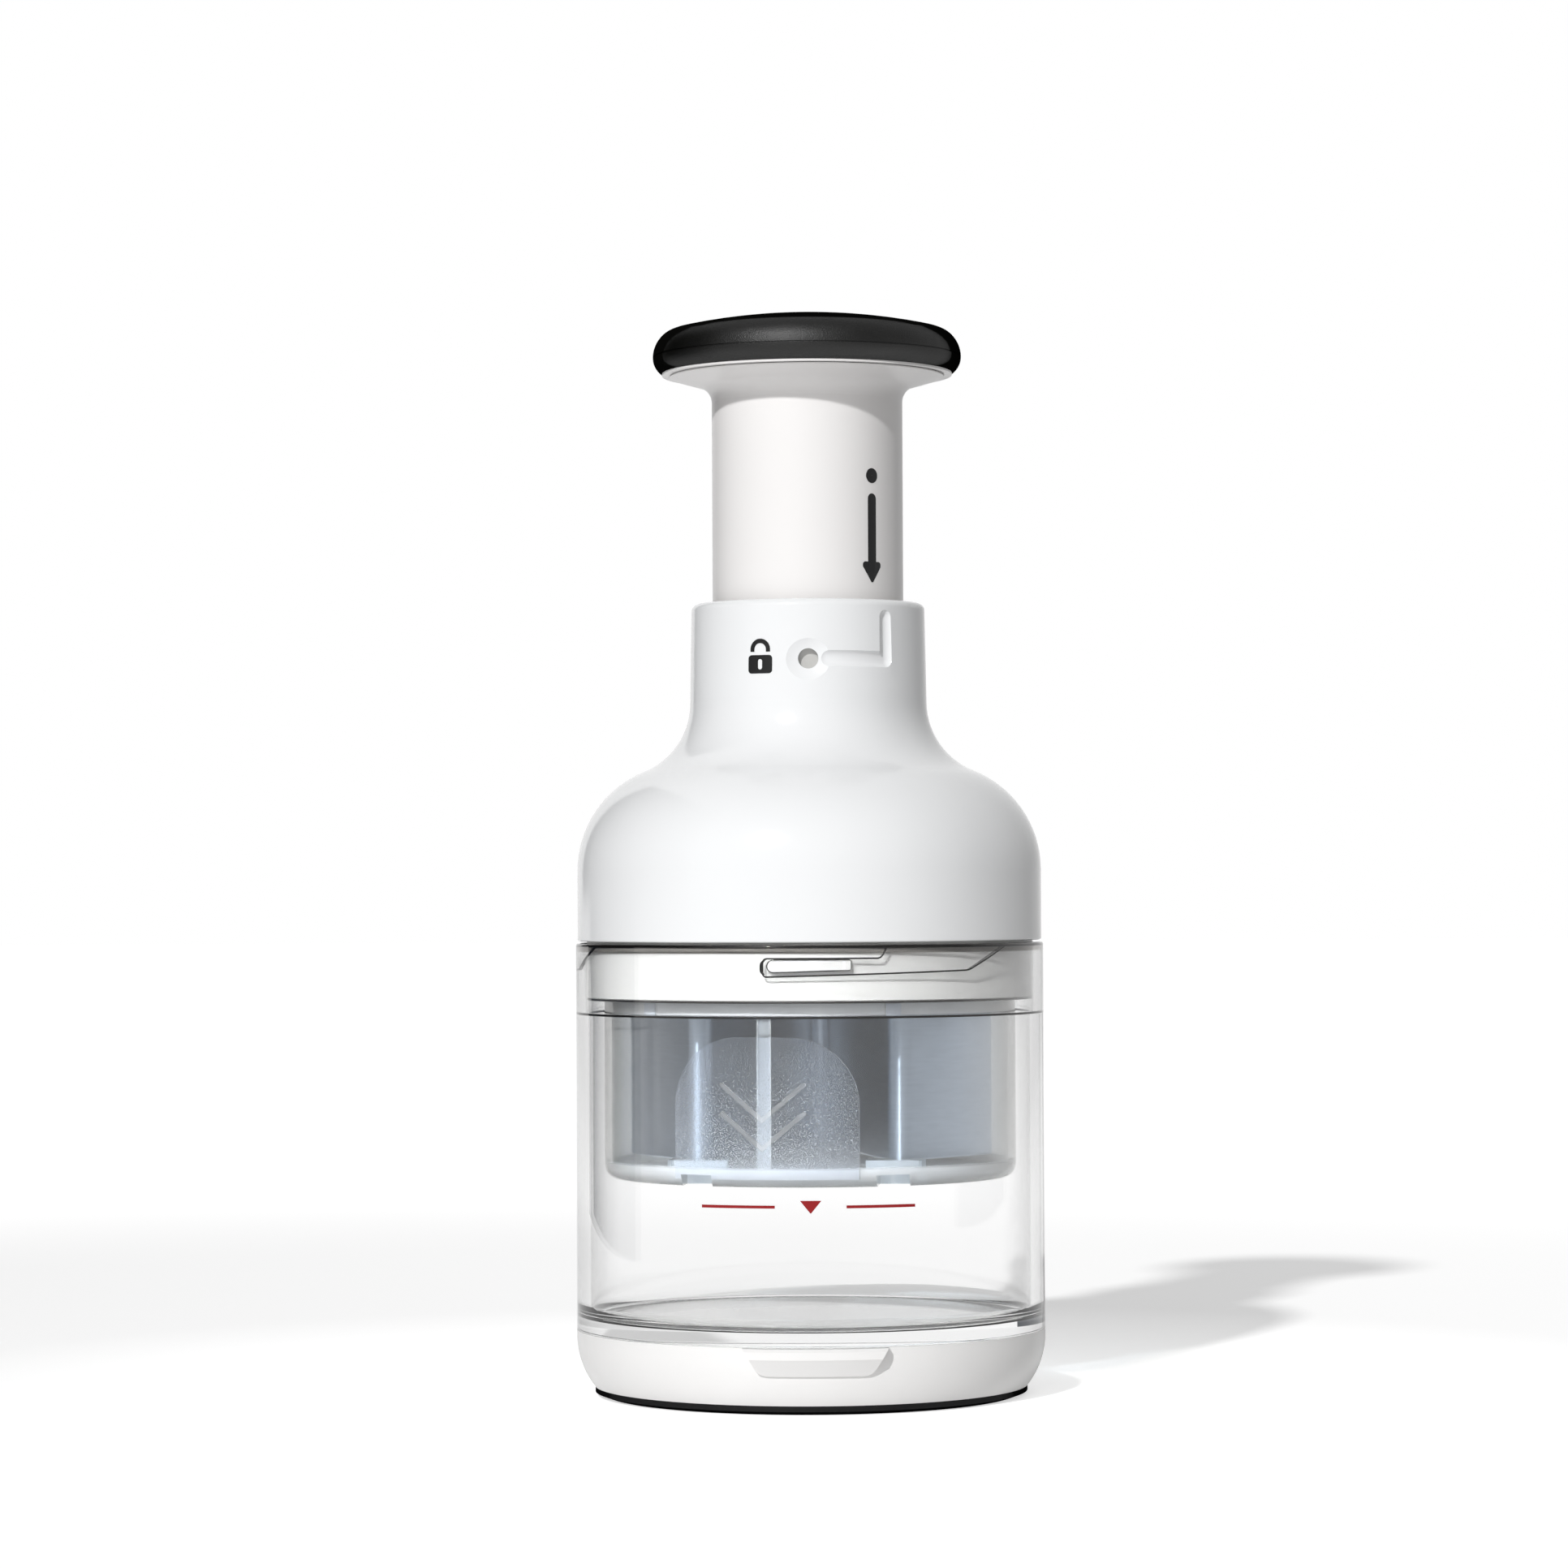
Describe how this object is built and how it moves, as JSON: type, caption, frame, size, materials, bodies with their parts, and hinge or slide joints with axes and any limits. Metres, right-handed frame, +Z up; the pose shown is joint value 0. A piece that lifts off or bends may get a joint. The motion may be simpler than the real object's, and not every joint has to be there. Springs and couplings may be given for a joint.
{
  "type": "food chopper",
  "caption": "Press-plunger food chopper: sprung palm knob drives a zigzag blade through a guard into a clear cup on a clip-in base; the bell housing twists off its bayonet.",
  "frame": {"origin": "on the floor under the plunger's axis, at the bottom of the foot ring", "axes": "+Z up along the plunger, -Y towards the base's pull tab, the front in the picture"},
  "size_m": [0.101, 0.1036, 0.233],
  "materials": {
    "white_plastic": "gloss",
    "white_acetal": "satin",
    "clear_plastic": "clear",
    "frosted_plastic": "frosted",
    "blade_steel": "ground",
    "spring_steel": "drawn",
    "black_grip": "matte",
    "black_rubber": "matte"
  },
  "bodies": {
    "base": {"base_cover": "white_plastic", "foot_ring": "black_rubber"},
    "beaker": {"cup": "clear_plastic"},
    "bell": {"housing": "white_plastic", "collar": "white_plastic", "index_crown": "white_acetal"},
    "lock_collar": {"neck_bushing": "white_acetal"},
    "plunger": {"plunger_tube": "white_plastic", "knob_core": "white_plastic", "knob_grip": "black_grip", "spring_cap": "spring_steel", "return_spring": "spring_steel"},
    "guard_cage": {"guard": "frosted_plastic", "guard_spider": "white_acetal", "spring_seat": "spring_steel"},
    "carriage": {"blade_holder": "white_acetal", "blade": "blade_steel", "drive_yoke": "white_acetal", "index_follower": "white_acetal", "yoke_screws": "spring_steel"}
  },
  "joints": [
    {"name": "cup_lift", "type": "slide", "parent": "base", "child": "beaker", "axis": [0, 0, 1], "range_m": [0, 0.02]},
    {"name": "housing_twist", "type": "hinge", "parent": "beaker", "child": "bell", "pos_m": [0, 0, 0], "axis": [0, 0, 1], "range_deg": [0, 30]},
    {"name": "lock_twist", "type": "hinge", "parent": "bell", "child": "lock_collar", "pos_m": [0, 0, 0], "axis": [0, 0, 1], "range_deg": [-40.5, 0]},
    {"name": "press", "type": "slide", "parent": "lock_collar", "child": "plunger", "axis": [0, 0, -1], "range_m": [0, 0.034], "stiffness_N_per_m": 400, "springref_m": -0.03, "deforming": ["return_spring"]},
    {"name": "blade_index", "type": "hinge", "parent": "bell", "child": "guard_cage", "pos_m": [0, 0, 0], "axis": [0, 0, 1], "continuous": true},
    {"name": "blade_drop", "type": "slide", "parent": "guard_cage", "child": "carriage", "axis": [0, 0, -1], "range_m": [0, 0.034]}
  ],
  "couplings": [
    {"joint": "blade_drop", "follows": "press", "ratio": 1}
  ]
}
